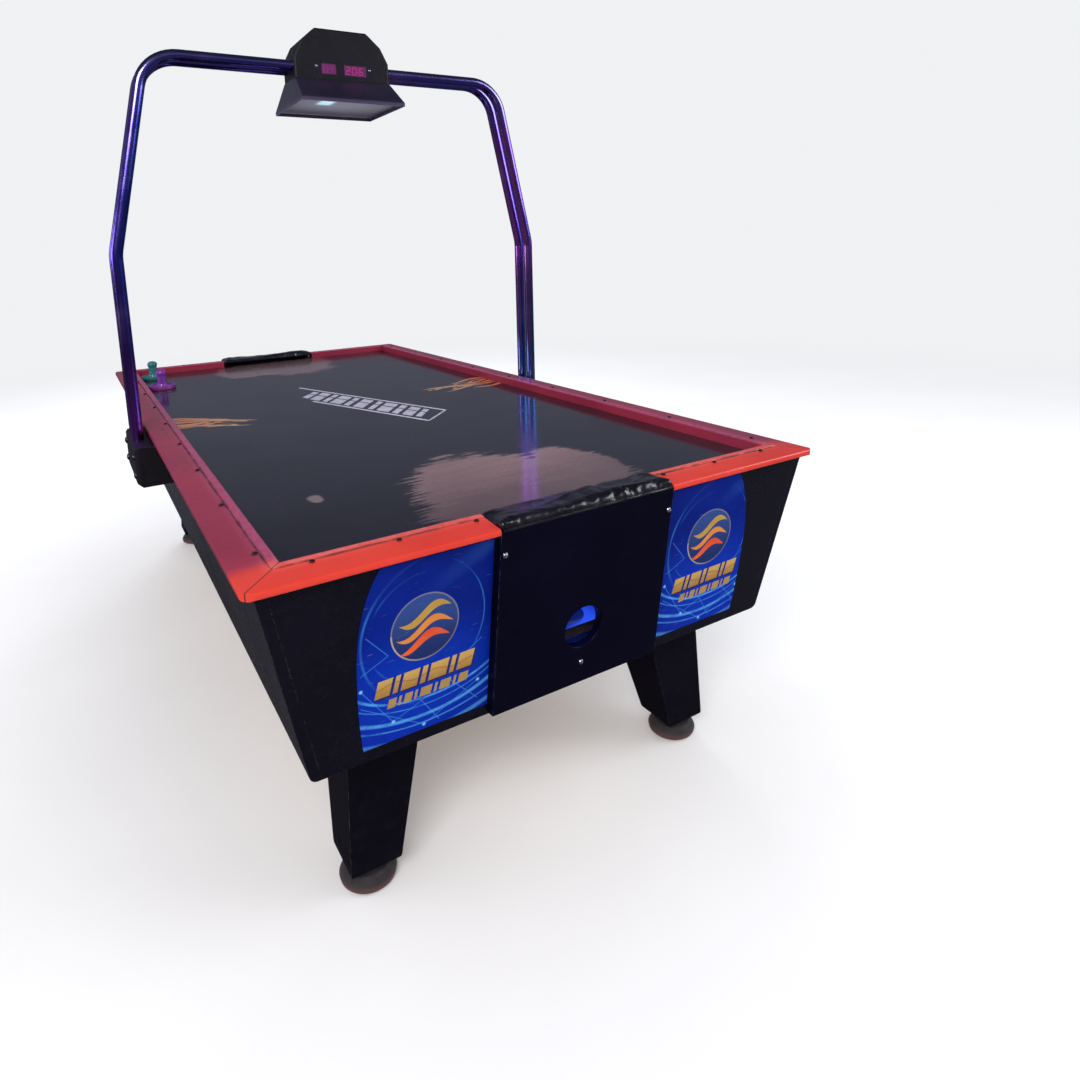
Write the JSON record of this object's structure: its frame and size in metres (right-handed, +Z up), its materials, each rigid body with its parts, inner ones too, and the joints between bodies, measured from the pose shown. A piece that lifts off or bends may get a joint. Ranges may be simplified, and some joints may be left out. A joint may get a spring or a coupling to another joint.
{
  "type": "air hockey table",
  "caption": "Air hockey table with tapered cabinet, red rails, padded goals, puck returns, levelling feet and an overhead arch carrying score unit and lamp.",
  "frame": {"origin": "on the floor, centred between the four feet, at the bottom of the whole table", "axes": "+Z up; +Y along the table away from the front goal end (front goal at -Y); +X across the table"},
  "size_m": [1.4006, 2.515, 1.899],
  "materials": {
    "cabinet_black": "gloss",
    "board": "matte",
    "playfield_black": "gloss",
    "rail_red": "semi-gloss",
    "screw_dark": "satin",
    "cap_vinyl": "gloss",
    "goal_black": "satin",
    "chute_blue": "gloss",
    "graphic_blue": "semi-gloss",
    "screw_bright": "satin",
    "sensor_black": "matte",
    "leg_black": "satin",
    "foot_rubber": "matte",
    "zinc": "satin",
    "arch_chrome": "polished",
    "bracket_black": "satin",
    "score_black": "satin",
    "display_red": "gloss",
    "board_green": "matte",
    "shade_black": "satin",
    "diffuser_white": "satin",
    "lamp_white": "satin",
    "blower_grey": "matte",
    "impeller_grey": "satin",
    "motor_grey": "satin",
    "box_grey": "matte",
    "rocker_black": "gloss",
    "mallet_purple": "gloss",
    "mallet_teal": "gloss",
    "puck_blue": "gloss"
  },
  "bodies": {
    "table": {"side_panel_left": "cabinet_black", "side_panel_right": "cabinet_black", "end_panel_front": "cabinet_black", "end_panel_back": "cabinet_black", "cabinet_floor": "board", "playfield": "playfield_black", "plenum_frame": "board", "plenum_floor": "board", "side_rail_left": "rail_red", "side_rail_right": "rail_red", "end_rail_front_left": "rail_red", "end_rail_front_right": "rail_red", "end_rail_back_left": "rail_red", "end_rail_back_right": "rail_red", "rail_screws": "screw_dark", "goal_cap_front": "cap_vinyl", "goal_panel_front": "goal_black", "puck_chute_front": "chute_blue", "end_graphics_front": "graphic_blue", "goal_cap_back": "cap_vinyl", "goal_panel_back": "goal_black", "puck_chute_back": "chute_blue", "end_graphics_back": "graphic_blue", "goal_panel_screws": "screw_bright", "puck_sensors": "sensor_black", "leg_front_left": "leg_black", "leg_front_right": "leg_black", "leg_back_left": "leg_black", "leg_back_right": "leg_black", "leg_bolts": "zinc", "leveler_inserts": "zinc", "arch_tube_front": "arch_chrome", "arch_tube_back": "arch_chrome", "post_bracket_left": "bracket_black", "post_bracket_right": "bracket_black", "post_bolts": "screw_dark", "score_housing": "score_black", "display_windows": "display_red", "display_boards": "board_green", "score_screws": "screw_bright", "lamp_shade": "shade_black", "lamp_diffuser": "diffuser_white", "lamp_tube": "lamp_white", "blower_housing": "blower_grey", "blower_motor": "motor_grey", "control_box": "box_grey"},
    "foot_front_left": {"leveler_foot_front_left": "foot_rubber"},
    "stem_front_left": {"leveler_stem_front_left": "zinc"},
    "foot_front_right": {"leveler_foot_front_right": "foot_rubber"},
    "stem_front_right": {"leveler_stem_front_right": "zinc"},
    "foot_back_left": {"leveler_foot_back_left": "foot_rubber"},
    "stem_back_left": {"leveler_stem_back_left": "zinc"},
    "foot_back_right": {"leveler_foot_back_right": "foot_rubber"},
    "stem_back_right": {"leveler_stem_back_right": "zinc"},
    "impeller": {"blower_impeller": "impeller_grey"},
    "rocker": {"power_rocker": "rocker_black"},
    "mallet_a": {"mallet_purple": "mallet_purple"},
    "mallet_b": {"mallet_teal": "mallet_teal"},
    "puck_body": {"puck": "puck_blue"}
  },
  "joints": [
    {"name": "leveler_front_left_height", "type": "slide", "parent": "table", "child": "foot_front_left", "axis": [0, 0, -1], "range_m": [0, 0.02]},
    {"name": "leveler_front_left_screw", "type": "hinge", "parent": "foot_front_left", "child": "stem_front_left", "pos_m": [-0.415, -1.041, 0.034], "axis": [0, 0, 1], "range_deg": [0, 3600.5]},
    {"name": "leveler_front_right_height", "type": "slide", "parent": "table", "child": "foot_front_right", "axis": [0, 0, -1], "range_m": [0, 0.02]},
    {"name": "leveler_front_right_screw", "type": "hinge", "parent": "foot_front_right", "child": "stem_front_right", "pos_m": [0.415, -1.041, 0.034], "axis": [0, 0, 1], "range_deg": [0, 3600.5]},
    {"name": "leveler_back_left_height", "type": "slide", "parent": "table", "child": "foot_back_left", "axis": [0, 0, -1], "range_m": [0, 0.02]},
    {"name": "leveler_back_left_screw", "type": "hinge", "parent": "foot_back_left", "child": "stem_back_left", "pos_m": [-0.415, 1.041, 0.034], "axis": [0, 0, 1], "range_deg": [0, 3600.5]},
    {"name": "leveler_back_right_height", "type": "slide", "parent": "table", "child": "foot_back_right", "axis": [0, 0, -1], "range_m": [0, 0.02]},
    {"name": "leveler_back_right_screw", "type": "hinge", "parent": "foot_back_right", "child": "stem_back_right", "pos_m": [0.415, 1.041, 0.034], "axis": [0, 0, 1], "range_deg": [0, 3600.5]},
    {"name": "blower_spin", "type": "hinge", "parent": "table", "child": "impeller", "pos_m": [0, 0, 0.574], "axis": [0, 0, 1], "continuous": true},
    {"name": "power_rocker_tilt", "type": "hinge", "parent": "table", "child": "rocker", "pos_m": [0.35, 0, 0.36], "axis": [1, 0, 0], "range_deg": [-8, 8]},
    {"name": "mallet_purple_glide", "type": "slide", "parent": "table", "child": "mallet_a", "axis": [0, 1, 0], "range_m": [-0.7, 0.15]},
    {"name": "mallet_teal_glide", "type": "slide", "parent": "table", "child": "mallet_b", "axis": [1, 0, 0], "range_m": [0, 1.025]},
    {"name": "puck_return", "type": "slide", "parent": "table", "child": "puck_body", "axis": [0, -1, 0], "range_m": [0, 0.125]}
  ],
  "couplings": [
    {"joint": "leveler_front_left_screw", "follows": "leveler_front_left_height", "rad_per_m": 3141.5},
    {"joint": "leveler_front_right_screw", "follows": "leveler_front_right_height", "rad_per_m": 3141.5},
    {"joint": "leveler_back_left_screw", "follows": "leveler_back_left_height", "rad_per_m": 3141.5},
    {"joint": "leveler_back_right_screw", "follows": "leveler_back_right_height", "rad_per_m": 3141.5}
  ]
}
